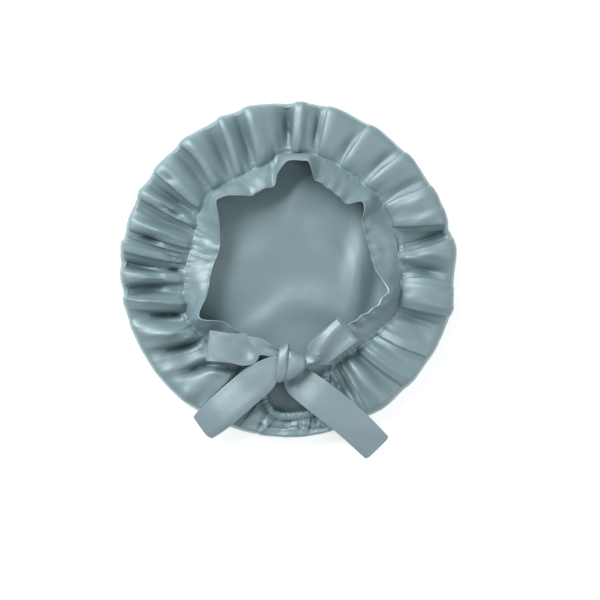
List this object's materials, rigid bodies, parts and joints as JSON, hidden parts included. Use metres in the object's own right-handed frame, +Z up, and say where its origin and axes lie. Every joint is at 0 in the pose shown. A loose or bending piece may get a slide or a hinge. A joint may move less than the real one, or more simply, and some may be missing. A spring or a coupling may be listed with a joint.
{
  "type": "satin sleep bonnet with a head band and tie bow, lying crown down",
  "caption": "Soft satin sleep bonnet lying crown down: a gathered round crown, a wavy head band, a ruched nape casing and ties knotted in a bow.",
  "frame": {"origin": "centre of the flat underside of the crown, on the surface that it lies on", "axes": "+Z up, away from the surface and out of the mouth; +Y towards the front of the bonnet, above the forehead; -Y towards the nape and the bow; +X to the right as seen from above"},
  "size_m": [0.3038, 0.3227, 0.0449],
  "materials": {
    "satin": "dusty teal satin with a soft sheen",
    "ribbon": "the same satin, turned into flat doubled ties"
  },
  "bodies": {
    "root": {"crown": "satin", "head_band": "satin", "nape_casing": "satin", "tie_left": "ribbon", "tie_right": "ribbon", "loop_left": "ribbon", "loop_right": "ribbon", "tail_left": "ribbon", "tail_right": "ribbon", "bow_knot": "ribbon"}
  },
  "joints": []
}
